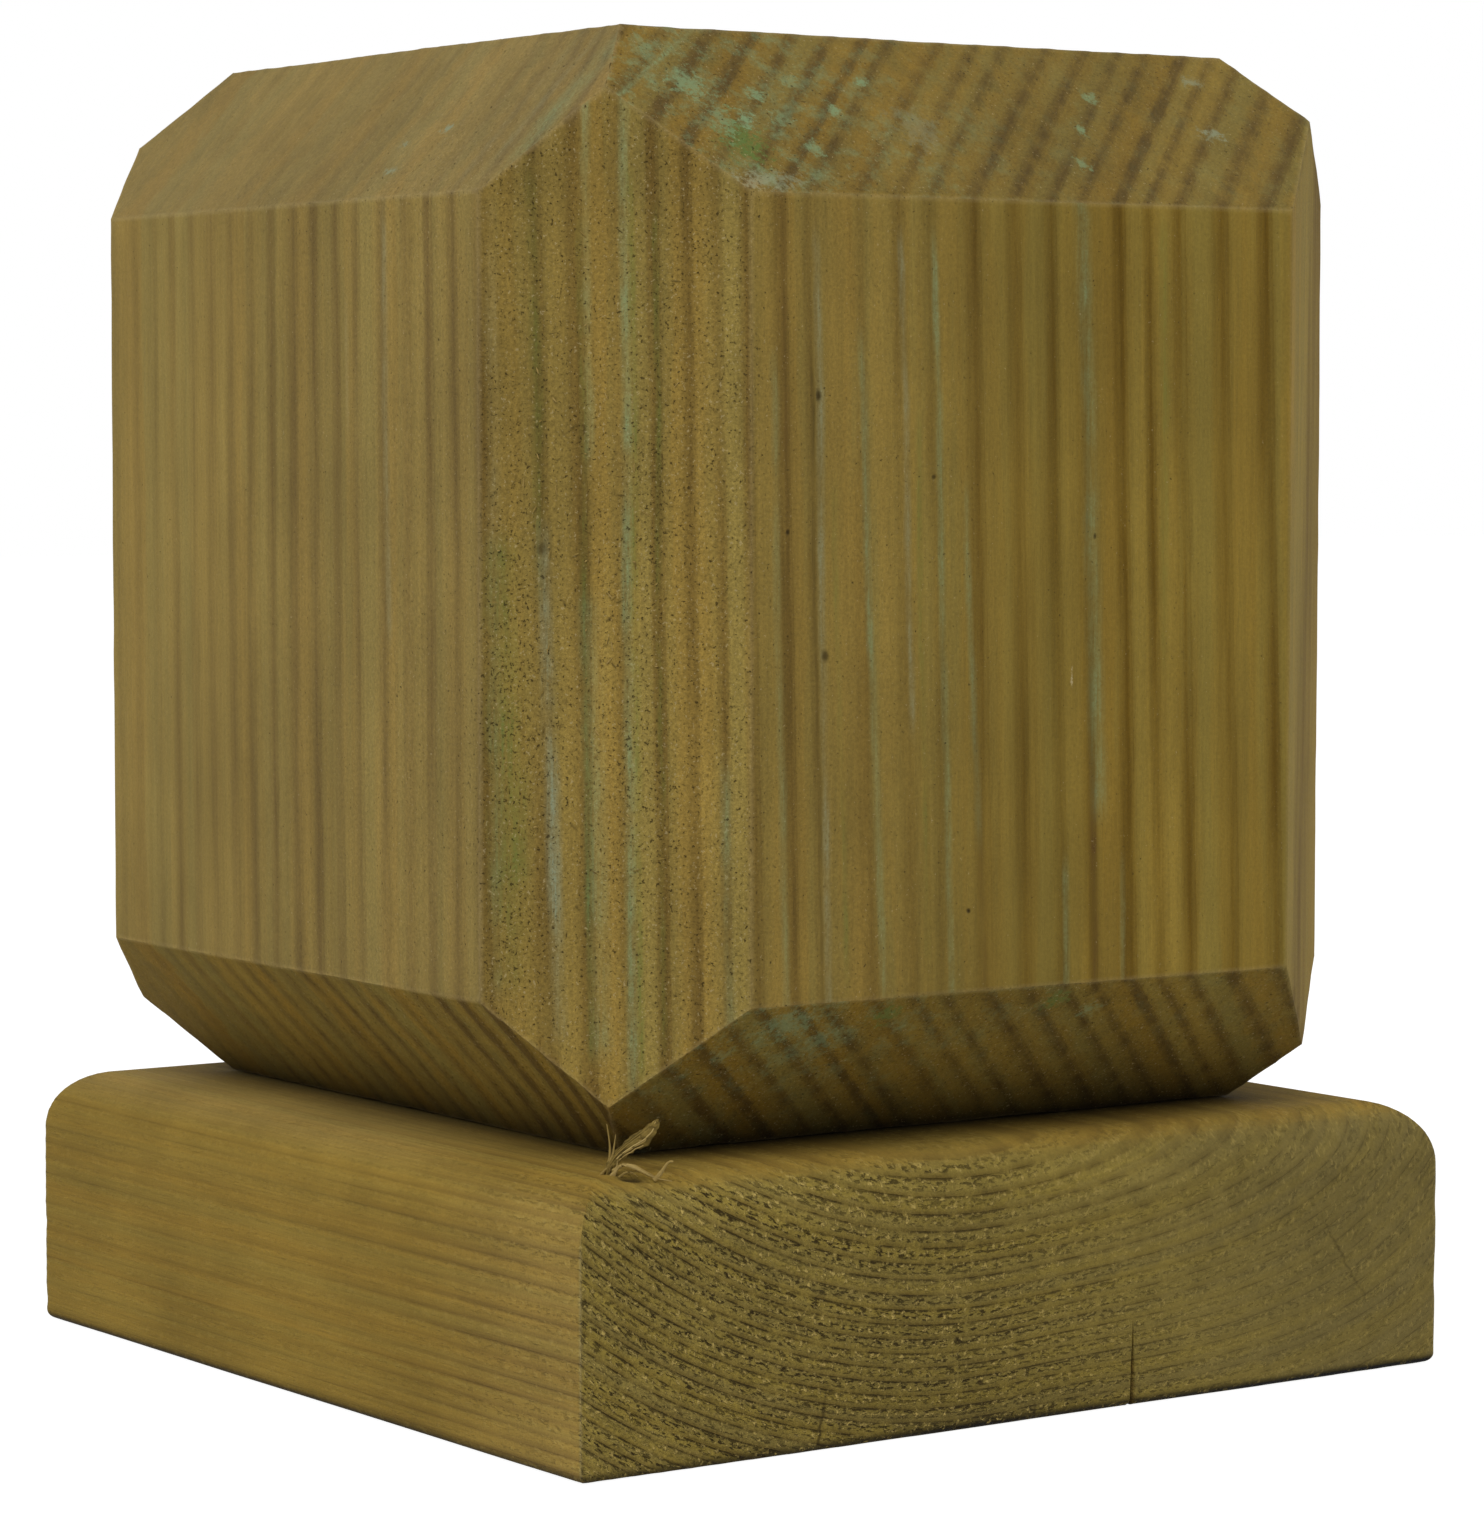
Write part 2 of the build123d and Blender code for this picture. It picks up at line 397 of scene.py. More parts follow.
def finish_mesh(mesh, name, attributes, sharp_angle):
    """Turn a bmesh into an object with point attributes, smooth except over sharp edges."""
    mesh.normal_update()
    for edge in mesh.edges:
        edge.smooth = not (len(edge.link_faces) == 2 and edge.calc_face_angle() > sharp_angle)
    for face in mesh.faces:
        face.smooth = True
    data = bpy.data.meshes.new(name)
    mesh.to_mesh(data)
    mesh.free()
    for key, values in attributes.items():
        attribute = data.attributes.new(key, "FLOAT", "POINT")
        attribute.data.foreach_set("value", np.asarray(values, np.float32))
    piece = bpy.data.objects.new(name, data)
    bpy.context.scene.collection.objects.link(piece)
    return piece


def new_material(name):
    """Empty node material and a function that adds nodes to it."""
    material = bpy.data.materials.new(name)
    material.use_nodes = True
    material.node_tree.nodes.clear()
    return material, partial(add_node, material.node_tree)


def pine_base(add, along_grain, tints, ring):
    """Shared start of both pine materials: rings, fibres, clouds and the two wood tones."""
    place = add("TexCoord").outputs["Object"]
    mm = add("VectorMath", {0: place, "Scale": 1 / MM}, operation="SCALE")
    drawn = add("VectorMath", {0: mm, 1: along_grain}, operation="MULTIPLY")
    base = {"mm": mm}
    for name in (
        "ring_number", "end_grain", "arris_mm", "line_strength", "roughly_sawn", "dried_pale", "wood_tone",
    ):
        base[name] = add("Attribute", attribute_name=name).outputs["Fac"]

    # Fibre bundles of 0.4 mm, streaks of 2 mm, clouds of 20 mm and grains of 0.3 mm
    base["fine"] = add("TexNoise", {"Vector": drawn, "Scale": 2.4, "Detail": 4.0, "Roughness": 0.7})
    base["streak"] = add("TexNoise", {"Vector": drawn, "Scale": 0.5, "Detail": 3.0, "Roughness": 0.55})
    base["cloud"] = add("TexNoise", {"Vector": mm, "Scale": 0.05, "Detail": 4.0, "Roughness": 0.6})
    base["grit"] = add("TexNoise", {"Vector": mm, "Scale": 3.2, "Detail": 3.0, "Roughness": 0.8})

    # Each ring darkens slowly through its earlywood and peaks in the latewood, with frayed edges
    fray = add("Math", {0: base["fine"], 1: 0.1, 2: -0.05}, operation="MULTIPLY_ADD")
    frayed = add("Math", {0: base["ring_number"], 1: fray}, operation="ADD")
    base["phase"] = add("Math", {0: frayed}, operation="FRACT")
    profile = add("ValToRGB", {0: base["phase"]})
    set_stops(profile, ring, "EASE")
    late = add("Math", {0: profile, 1: base["line_strength"]}, operation="MULTIPLY")
    patchy = add("MapRange", {0: base["streak"], 1: 0.3, 2: 0.65, 3: 1.25, 4: 0.55})
    late = add("Math", {0: late, 1: patchy}, operation="MULTIPLY", use_clamp=True)

    # Thin lines inside a ring, which stay with it on long grain and on end grain
    thin = add("Math", {0: base["ring_number"], 1: 4.0}, operation="MULTIPLY")
    thin = {"W": thin, "Scale": 1.0, "Detail": 3.0, "Roughness": 0.6}
    base["lines"] = add("TexNoise", thin, noise_dimensions="1D")

    # Bands some rings wide lean to olive green or to warm brown
    lean = add("Math", {0: base["streak"], 1: 1.6, 2: base["ring_number"]}, operation="MULTIPLY_ADD")
    lean = add("TexNoise", {"W": lean, "Scale": 0.7, "Detail": 2.0}, noise_dimensions="1D")
    lean = add("MapRange", {0: lean, 1: 0.35, 2: 0.65})
    grains = []
    for part in ("", "end_"):
        early = add("Mix", {0: lean, 6: tints[part + "early"], 7: tints[part + "green"]}, data_type="RGBA")
        grains.append(add("Mix", {0: late, 6: early, 7: tints[part + "late"]}, data_type="RGBA"))
    base["colour"] = add("Mix", {0: base["end_grain"], 6: grains[0], 7: grains[1]}, data_type="RGBA")

    # Golden and brown bands, with painted shade where block and plate meet and under the plate's bottom edges
    base["tone"] = add("Math", {0: base["wood_tone"], 1: 0.5, 2: 0.5}, operation="MULTIPLY_ADD")

    # Rough-sawn faces are mottled grain by grain
    rough = add("Math", {0: base["roughly_sawn"], 1: 0.8, 2: 0.2}, operation="MULTIPLY_ADD")
    mottle = add("Math", {0: base["grit"], 1: 0.5}, operation="SUBTRACT")
    mottle = add("Math", {0: mottle, 1: rough}, operation="MULTIPLY")
    base["mottle"] = add("Math", {0: mottle, 1: 0.5}, operation="ADD")
    return base


def shade(add, colour, factors):
    """Darken and lighten a colour by several noises, each (noise, share): 0.5 leaves it as it is."""
    for noise, share in factors:
        level = add("Math", {0: noise, 1: 2 * share, 2: 1.0 - share}, operation="MULTIPLY_ADD")
        colour = add("VectorMath", {0: colour, "Scale": level}, operation="SCALE")
    return colour


def paint(add, colour, coats):
    """Lay several tints over a colour, each (amount, hex colour)."""
    for amount, tint in coats:
        colour = add("Mix", {0: amount, 6: colour, 7: linear(tint)}, data_type="RGBA")
    return colour


def close_material(add, colour, height, distance):
    """Principled wood surface with a bump of this height in metres."""
    bump = add("Bump", {"Strength": 1.0, "Distance": distance, "Height": height})
    surface = add("BsdfPrincipled", {
        "Base Color": colour, "Roughness": WOOD_ROUGHNESS, "Normal": bump, "IOR": 1.5,
        "Specular IOR Level": WOOD_SPECULAR,
    })
    add("OutputMaterial", {"Surface": surface})


def fold(add, operation, parts):
    """Several amounts made into one, such as the largest of them or their product."""
    total = parts[0]
    for part in parts[1:]:
        total = add("Math", {0: total, 1: part}, operation=operation)
    return total


def streak_amount(add, across, along, streaks):
    """How much a point lies in the nearest of some streaks. Three at a time share a vector."""
    across, along = (add("CombineXYZ", {0: place, 1: place, 2: place}) for place in (across, along))
    soft = {"data_type": "FLOAT_VECTOR", "interpolation_type": "SMOOTHSTEP"}
    none, full = (0.0,) * 3, (1.0,) * 3
    total = None
    for start in range(0, len(streaks), 3):
        three = (streaks[start:start + 3] * 3)[:3]
        foot, foot_place, top, top_place, half, strength = (tuple(values) for values in zip(*three))
        under = tuple(value - STREAK_FADE for value in foot)
        over = tuple(value + STREAK_FADE for value in top)
        centre = add("MapRange", {
            "Vector": along, 7: foot, 8: top, 9: foot_place, 10: top_place,
        }, data_type="FLOAT_VECTOR", clamp=False)
        gap = add("VectorMath", {0: across, 1: centre}, operation="SUBTRACT")
        gap = add("VectorMath", {0: gap}, operation="ABSOLUTE")
        gap = add("VectorMath", {0: gap, 1: half}, operation="DIVIDE")
        amount = add("MapRange", {"Vector": gap, 7: none, 8: (1.7,) * 3, 9: full, 10: none}, **soft)
        rise = add("MapRange", {"Vector": along, 7: under, 8: foot, 9: none, 10: full}, **soft)
        fall = add("MapRange", {"Vector": along, 7: top, 8: over, 9: full, 10: none}, **soft)
        for part in (rise, fall, strength):
            amount = add("VectorMath", {0: amount, 1: part}, operation="MULTIPLY")
        total = add("VectorMath", {0: total, 1: amount}, operation="MAXIMUM") if total else amount
    return fold(add, "MAXIMUM", list(add("SeparateXYZ", {0: total}).outputs))


def spot_amount(add, across, along, rag, spots):
    """How much a point lies in the nearest of some oval spots with ragged rims."""
    place = add("CombineXYZ", {0: across, 1: along})
    amounts = []
    for centre, level, half, half_up, strength in spots:
        gap = add("VectorMath", {0: place, 1: (centre, level, 0)}, operation="SUBTRACT")
        gap = add("VectorMath", {0: gap, 1: (half, half_up, 1)}, operation="DIVIDE")
        reach = add("VectorMath", {0: gap}, operation="LENGTH").outputs["Value"]
        reach = add("Math", {0: reach, 1: rag}, operation="ADD")
        fade = {0: reach, 1: 0.2, 2: 1.3, 3: strength, 4: 0.0}
        amounts.append(add("MapRange", fade, interpolation_type="SMOOTHSTEP"))
    return fold(add, "MAXIMUM", amounts)


def face_masks(add, directions):
    """One amount for each named flat face: 1 where the surface faces that way."""
    normal = add("NewGeometry").outputs["True Normal"]
    masks = {}
    for name, direction in directions.items():
        unit = Vector(direction).normalized()
        dot = add("VectorMath", {0: normal, 1: unit}, operation="DOT_PRODUCT").outputs["Value"]
        masks[name] = add("MapRange", {0: dot, 1: 0.9, 2: 0.95})
    return masks


def pits_and_flecks(add, base, grime):
    """Dark pits and pale flecks of 0.3 mm: few on planed wood, many where it is sawn or grimy."""
    grain = add("TexNoise", {"Vector": base["mm"], "Scale": 3.3, "Detail": 2.0, "Roughness": 0.6})
    start = add("Math", {0: base["roughly_sawn"], 1: -0.1, 2: 0.73}, operation="MULTIPLY_ADD")
    dark_start = add("Math", {0: grime, 1: -0.045, 2: start}, operation="MULTIPLY_ADD")
    dark_full = add("Math", {0: dark_start, 1: 0.09}, operation="ADD")
    pits = add("MapRange", {0: grain, 1: dark_start, 2: dark_full, 3: 0.0, 4: 0.8})
    flipped = add("Math", {0: 1.0, 1: grain}, operation="SUBTRACT")
    pale_full = add("Math", {0: start, 1: 0.06}, operation="ADD")
    flecks = add("MapRange", {0: flipped, 1: start, 2: pale_full, 3: 0.0, 4: 0.45})
    return pits, flecks


def treated_block_pine(settings):
    """Pressure-treated pine, planed on the faces and sawn on the bevels.

    The eye sees upright golden-olive stripes, blue-green copper salt left in single grain lines,
    and warmer, coarser end grain on the sloping bevels.
    """
    material, add = new_material("planed_treated_pine_upright_grain")
    tints = {name: linear(getattr(settings, name)) for name in WOOD_TINTS}
    base = pine_base(add, (1.0, 1.0, 0.06), tints, BLOCK_RING)
    colour = paint(add, base["colour"], [(base["dried_pale"], settings.pale)])
    colour = shade(add, colour, (
        (base["tone"], 0.22), (base["lines"], 0.1), (base["streak"], 0.2), (base["fine"], 0.14),
        (base["cloud"], 0.26), (base["mottle"], 0.75),
    ))

    # Places across each face, which wander a little as they rise
    parts = add("SeparateXYZ", {0: base["mm"]}).outputs
    height = parts["Z"]
    wander = add("Math", {0: height, 1: 0.06}, operation="MULTIPLY")
    wander = add("TexNoise", {"W": wander, "Scale": 1.0, "Detail": 3.0}, noise_dimensions="1D")
    wander = add("Math", {0: wander, 1: 0.9, 2: -0.45}, operation="MULTIPLY_ADD")
    place_x, place_y = (add("Math", {0: parts[axis], 1: wander}, operation="ADD") for axis in "XY")
    spread = add("Math", {0: parts["X"], 1: parts["Y"]}, operation="SUBTRACT")
    spread = add("Math", {0: spread, 1: NEAR_ARRIS - BLOCK_LEFT}, operation="ADD")
    along_bevel = add("Math", {0: spread, 1: math.sqrt(0.5), 2: wander}, operation="MULTIPLY_ADD")
    across = {"near": along_bevel, "left": place_y, "top_left": place_y}
    on_face = face_masks(add, {face: BLOCK_FACES[face][0] for face, _ in (*STREAKS, *SPOTS)})
    rag = add("TexNoise", {"Vector": base["mm"], "Scale": 1.2, "Detail": 5.0, "Roughness": 0.8})
    rag = add("Math", {0: rag, 1: 5.5, 2: -2.6}, operation="MULTIPLY_ADD")

    # Copper salt also lies in loose patches on the sloping end grain, more towards the near corner
    patches = add("TexNoise", {"Vector": base["mm"], "Scale": 0.35, "Detail": 6.0, "Roughness": 0.8})
    patches = add("MapRange", {0: patches, 1: 0.5, 2: 0.68})
    sheltered = add("MapRange", {0: height, 1: 30.0, 2: 37.0, 3: 0.25, 4: 1.0})
    near_corner = add("MapRange", {0: parts["X"], 1: -44.0, 2: 6.0, 3: 0.8, 4: 0.096})
    front_bevels = add("Math", {0: on_face["top_front"], 1: on_face["foot_front"]}, operation="ADD")
    patches = fold(add, "MULTIPLY", (patches, sheltered, near_corner, front_bevels))
    marks = {"grime": [], "moss": [], "resin": [], "pale": [], "copper": [patches], "slate": [], "dark": []}

    # Streaks are broken by fibres, grains and larger gaps
    broken = add("MapRange", {0: base["fine"], 1: 0.38, 2: 0.62, 3: 0.35, 4: 1.0})
    grains = add("MapRange", {0: base["grit"], 1: 0.38, 2: 0.62, 3: 0.55, 4: 1.15})
    uneven = add("TexNoise", {"Vector": base["mm"], "Scale": 0.12, "Detail": 3.0, "Roughness": 0.6})
    uneven = add("MapRange", {0: uneven, 1: 0.36, 2: 0.62, 3: 0.3, 4: 1.15})
    broken = fold(add, "MULTIPLY", (broken, grains, uneven))
    for (face, kind), streaks in STREAKS.items():
        amount = streak_amount(add, across.get(face, place_x), height, streaks)
        marks[kind].append(fold(add, "MULTIPLY", (amount, on_face[face], broken)))
    for (face, kind), spots in SPOTS.items():
        amount = spot_amount(add, across.get(face, place_x), height, rag if kind != "dark" else 0.0, spots)
        marks[kind].append(add("Math", {0: amount, 1: on_face[face]}, operation="MULTIPLY"))

    pits, flecks = pits_and_flecks(add, base, fold(add, "MAXIMUM", marks.pop("grime")))
    # Paler wood along the arrises, partly wear and partly a painted highlight
    worn_and_highlight = add("MapRange", {0: base["arris_mm"], 1: 0.05, 2: 0.45, 3: 0.28, 4: 0.0})
    marks["dark"].append(pits)
    marks["pale"] += [flecks, add("Math", {0: worn_and_highlight, 1: base["grit"]}, operation="MULTIPLY")]
    amounts = {kind: fold(add, "MAXIMUM", found) for kind, found in marks.items()}
    colour = paint(add, colour, [(amount, getattr(settings, kind)) for kind, amount in amounts.items()])

    relief = add("Math", {0: base["fine"], 1: 0.6, 2: base["mottle"]}, operation="MULTIPLY_ADD")
    relief = add("Math", {0: amounts["dark"], 1: -0.8, 2: relief}, operation="MULTIPLY_ADD")
    close_material(add, colour, relief, 0.00018)
    return material


def treated_plate_pine(settings):
    """Pressure-treated pine board, planed on top and sides, rough-sawn across its end grain.

    The eye sees fine level lines on the long side, and on the front round rings whose soft
    earlywood is torn into rows of dark pits and pale fibre ends.
    """
    material, add = new_material("planed_treated_pine_board")
    tints = {name: linear(getattr(settings, "plate_" + name)) for name in WOOD_TINTS}
    base = pine_base(add, (1.0, 0.06, 1.0), tints, PLATE_RING)
    arc = add("Attribute", attribute_name="arc_mm").outputs["Fac"]
    parts = add("SeparateXYZ", {0: base["mm"]}).outputs
    colour = paint(add, base["colour"], [(base["dried_pale"], settings.pale)])
    colour = shade(add, colour, (
        (base["tone"], 0.22), (base["lines"], 0.16), (base["streak"], 0.2), (base["fine"], 0.16),
        (base["cloud"], 0.36), (base["mottle"], 0.7),
    ))

    # Torn rows follow the rings: dark pits 0.9 mm long and a quarter of a ring high, and pale fibre ends
    torn = []
    for rows, dashes, detail, spread, low, high in TORN_ROWS:
        row = add("Math", {0: base["ring_number"], 1: rows}, operation="MULTIPLY")
        dash = add("Math", {0: arc, 1: dashes}, operation="MULTIPLY")
        follow = add("CombineXYZ", {0: dash, 1: row, 2: parts["Y"]})
        noise = add("TexNoise", {"Vector": follow, "Scale": 1.0, "Detail": detail, "Roughness": spread})
        torn.append(add("MapRange", {0: noise, 1: low, 2: high}))
    pits, ends = torn
    soft_wood = add("ValToRGB", {0: base["phase"]})
    set_stops(soft_wood, ((0.0, 1.0), (0.45, 1.0), (0.58, 0.12), (0.8, 0.12), (0.9, 1.0)), "EASE")
    worse = add("TexNoise", {"W": base["ring_number"], "Scale": 0.6, "Detail": 2.0}, noise_dimensions="1D")
    worse = add("MapRange", {0: worse, 1: 0.36, 2: 0.6, 3: 0.35, 4: 1.25})
    pits = fold(add, "MULTIPLY", (pits, soft_wood, worse))
    furrow = add("ValToRGB", {0: base["phase"]})
    set_stops(furrow, ((0.0, 0.0), (0.78, 0.0), (0.86, 1.0), (0.94, 0.0)), "EASE")
    unbroken = add("MapRange", {0: base["streak"], 1: 0.58, 2: 0.42, 3: 0.1, 4: 0.9})
    furrow = add("Math", {0: furrow, 1: unbroken}, operation="MULTIPLY")
    pits = add("Math", {0: pits, 1: furrow}, operation="MAXIMUM")
    ends = add("Math", {0: ends, 1: soft_wood}, operation="MULTIPLY")
    rough = base["roughly_sawn"]
    pits, ends = (add("Math", {0: part, 1: rough}, operation="MULTIPLY") for part in (pits, ends))
    dark_pits = add("Math", {0: pits, 1: 0.85}, operation="MULTIPLY")
    pale_ends = add("Math", {0: ends, 1: 0.95}, operation="MULTIPLY")
    # Paler wood along the arrises, partly wear and partly a painted highlight
    worn_and_highlight = add("MapRange", {0: base["arris_mm"], 1: 0.05, 2: 0.4, 3: 0.5, 4: 0.0})
    worn_and_highlight = add("Math", {0: worn_and_highlight, 1: base["grit"]}, operation="MULTIPLY")

    # Hairline cracks in the front, too fine to open as the drying check does
    jog = add("TexNoise", {"W": parts["Z"], "Scale": 0.7, "Detail": 3.0}, noise_dimensions="1D")
    jog = add("Math", {0: jog, 1: 1.2, 2: -0.6}, operation="MULTIPLY_ADD")
    place_x = add("Math", {0: parts["X"], 1: jog}, operation="ADD")
    cracks = streak_amount(add, place_x, parts["Z"], HAIR_CRACKS)
    on_front = face_masks(add, {"front": (0, -1, 0)})["front"]
    cracks = add("Math", {0: cracks, 1: on_front}, operation="MULTIPLY")

    torn_pit = add("Attribute", attribute_name="torn_pit").outputs["Fac"]
    colour = paint(add, colour, (
        (dark_pits, settings.dark), (pale_ends, settings.torn_end), (worn_and_highlight, settings.pale),
        (cracks, settings.dark), (torn_pit, settings.dark),
    ))
    relief = add("Math", {0: base["fine"], 1: 0.6, 2: base["mottle"]}, operation="MULTIPLY_ADD")
    relief = add("Math", {0: pits, 1: -1.4, 2: relief}, operation="MULTIPLY_ADD")
    relief = add("Math", {0: ends, 1: 0.8, 2: relief}, operation="MULTIPLY_ADD")
    close_material(add, colour, relief, 0.0002)
    return material


def torn_fibre(settings):
    """Torn pine fibre and sawdust: matt, pale straw, each grain a little different."""
    material, add = new_material("torn_pine_fibre")
    tint = add("Attribute", attribute_name="tint").outputs["Fac"]
    place = add("TexCoord").outputs["Object"]
    grain = add("TexNoise", {"Vector": place, "Scale": 3500.0, "Detail": 3.0, "Roughness": 0.7})
    colour = add("ValToRGB", {0: tint})
    set_stops(colour, ((0.0, "#4A3D1C"), (0.35, "#7D6933"), (0.75, "#97804A"), (1.0, "#B29C64")))
    colour = shade(add, colour, ((grain, 0.35),))
    close_material(add, colour, grain, 0.00008)
    return material


def photo_axes():
    """The camera's right, up and back directions."""
    azimuth, elevation = math.radians(CAMERA_AZIMUTH), math.radians(CAMERA_ELEVATION)
    flat = math.cos(elevation)
    back = Vector((math.sin(azimuth) * flat, -math.cos(azimuth) * flat, math.sin(elevation)))
    right = Vector((math.cos(azimuth), math.sin(azimuth), 0))
    return right, back.cross(right), back


def plate_top(x, y, thickness, half):
    """Height in mm of the plate's top at a place in plan, its rounded edge included."""
    into = max(abs(x), abs(y)) - (half - ROUND_OVER)
    into = min(max(into, 0.0), ROUND_OVER)
    return thickness - ROUND_OVER + math.sqrt(ROUND_OVER**2 - into**2)


def strand(mesh, path, widths, thickness, broad, sides=6, twist=0.0):
    """Tapered closed strand along a path of mm points. broad is the way that its width runs."""
    rings = []
    for index, point in enumerate(path):
        before, after = path[max(index - 1, 0)], path[min(index + 1, len(path) - 1)]
        along = (after - before).normalized()
        wide = (broad - along * broad.dot(along)).normalized()
        wide = Matrix.Rotation(twist * index, 3, along) @ wide
        thin = along.cross(wide)
        ring = []
        for side in range(sides):
            angle = math.tau * side / sides
            offset = wide * math.cos(angle) * widths[index] / 2
            offset += thin * math.sin(angle) * thickness[index] / 2
            ring.append(mesh.verts.new((point + offset) * MM))
        rings.append(ring)
    for low, high in zip(rings, rings[1:]):
        for side in range(sides):
            after = (side + 1) % sides
            mesh.faces.new((low[side], low[after], high[after], high[side]))
    mesh.faces.new(list(reversed(rings[0])))
    mesh.faces.new(rings[-1])
    return [v for ring in rings for v in ring]


def smooth_path(points, count):
    """A curve through points, resampled to count points."""
    points = [Vector(p) for p in points]
    ends = [points[0] * 2 - points[1]] + points + [points[-1] * 2 - points[-2]]
    result = []
    for index in range(count):
        at = index / (count - 1) * (len(points) - 1)
        span = min(int(at), len(points) - 2)
        t = at - span
        a, b, c, d = ends[span:span + 4]
        bend = a * 2 - b * 5 + c * 4 - d
        turn = b * 3 - a - c * 3 + d
        result.append((b * 2 + (c - a) * t + bend * t**2 + turn * t**3) / 2)
    return result


# Splinters of the tuft: points as (right, up, towards the viewer) from its root in mm, width, thickness
TUFT_ROOT = (-42.3, -43.9)
SPLINTERS = (
    (
        ((-0.5, -0.4, 0.0), (-0.6, 0.6, 0.1), (-0.45, 1.6, 0.1), (-0.5, 2.8, 0.0), (-0.75, 4.4, -0.1)),
        0.42, 0.24,
    ),
    (((-0.5, -0.3, 0.1), (-0.5, 0.7, 0.2), (-0.2, 1.6, 0.2), (-0.1, 2.4, 0.3), (0.05, 3.5, 0.3)), 0.44, 0.24),
    (((-0.9, -0.3, -0.2), (-0.6, 0.5, 0.0), (-0.5, 1.3, 0.1)), 0.5, 0.3),
    (((-1.3, -0.2, 0.2), (-0.9, 0.35, 0.3), (-0.3, 0.8, 0.3)), 0.35, 0.25),
    (((-0.2, 0.3, 0.3), (0.9, 0.85, 0.5), (2.3, 0.3, 0.7), (3.6, -0.3, 0.8), (5.0, -0.55, 0.9)), 0.34, 0.2),
    (((0.6, 0.9, 0.2), (1.6, 0.75, 0.5), (2.7, 0.25, 0.7), (3.6, -0.2, 0.8)), 0.3, 0.18),
    (((3.4, -0.45, 0.8), (3.9, 0.0, 0.8), (4.3, 0.6, 0.7), (4.7, 1.1, 0.6), (5.1, 1.15, 0.5)), 0.42, 0.2),
    (((0.3, -0.3, 0.5), (0.9, 0.15, 0.6), (1.5, 0.15, 0.6), (2.0, -0.2, 0.7)), 0.26, 0.16),
    (((-0.2, -0.3, 0.4), (0.1, 0.3, 0.5), (0.5, 0.9, 0.4)), 0.4, 0.25),
    (((-0.4, -0.2, 0.5), (0.1, 0.5, 0.5), (0.2, 1.2, 0.4)), 0.3, 0.2),
)
BLADE = (
    (-0.7, -0.2, 0.0), (-0.45, 0.7, 0.1), (0.3, 1.7, 0.1), (1.3, 2.5, 0.1), (2.4, 3.2, 0.0),
    (3.2, 3.95, 0.0), (3.75, 4.75, -0.1),
)
BLADE_WIDTHS = (0.5, 0.75, 0.95, 1.25, 1.5, 1.15, 0.35)
BLADE_FIBRES = 16
# Sawdust grains: width and height at start, middle and end, as shares of their thickness
GRAIN_SHAPE = ((0.5, 1.0, 0.4), (0.5, 0.8, 0.4))


def colour_setting(label, what, default):
    """Setting that holds a colour."""
    return bpy.props.StringProperty(name=label, description=f"sRGB hex of {what}", default=default)


class PostCapWood(bpy.types.PropertyGroup):
    """Colours and relief of the treated pine."""

    early: colour_setting("Block earlywood", "the block's soft pale wood", "#836A28")
    green: colour_setting("Block green earlywood", "the block's greener rings", "#7D6B2E")
    late: colour_setting("Block latewood", "the block's dark grain lines", "#60490F")
    end_early: colour_setting("Bevel earlywood", "pale wood on the bevels", "#765D1E")
    end_green: colour_setting("Bevel green earlywood", "greener wood on the bevels", "#6E5E28")
    end_late: colour_setting("Bevel latewood", "dark wood on the bevels", "#523F14")
    copper: colour_setting("Copper salt", "the blue-green streaks", "#788E66")
    slate: colour_setting("Slate stain", "the blue-grey streaks", "#83886A")
    resin: colour_setting("Resin line", "the purple-brown streaks", "#523A19")
    moss: colour_setting("Green salt", "the dark green salt on the bevel", "#59682F")
    torn_end: colour_setting("Torn fibre ends", "golden fibre ends on the sawn plate", "#B29B56")
    # Pale colour of worn, chipped and dried wood, and along the arrises partly a painted highlight
    pale: colour_setting("Bruised fibre", "pale worn or chipped wood", "#AC9C72")
    dark: colour_setting("Pits", "pinholes and torn pits", "#362A0D")
    plate_early: colour_setting("Plate earlywood", "the plate's soft pale wood", "#886D27")
    plate_green: colour_setting("Plate green earlywood", "the plate's greener rings", "#866F2B")
    plate_late: colour_setting("Plate latewood", "the plate's dark grain lines", "#674E18")
    plate_end_early: colour_setting("Plate end earlywood", "pale wood on the sawn ends", "#806F31")
    plate_end_green: colour_setting("Plate end green earlywood", "greener wood on the sawn ends", "#796A35")
    plate_end_late: colour_setting("Plate end latewood", "dark wood on the sawn ends", "#55441A")
    ring_relief: bpy.props.FloatProperty(
        name="Ring relief", description="How far soft earlywood lies below the dark lines",
        default=0.00002, unit="LENGTH",
    )
    grain_count: bpy.props.IntProperty(
        name="Sawdust grains", description="How many grains of sawdust stick to the wood", default=420,
    )


class PostCapStage(bpy.types.PropertyGroup):
    """Floor and lamps."""

    floor_size: bpy.props.FloatProperty(
        name="Floor size", description="Side of the pale floor", default=6.0, unit="LENGTH",
    )
    key_power: bpy.props.FloatProperty(
        name="Key lamp", description="Power of the large soft lamp on the left, in watts", default=15.5,
    )
    fill_power: bpy.props.FloatProperty(
        name="Fill lamp", description="Power of the large soft lamp on the right, in watts", default=5.0,
    )
    sky_level: bpy.props.FloatProperty(
        name="Sky level", description="Brightness of the surrounding light", default=0.42,
    )


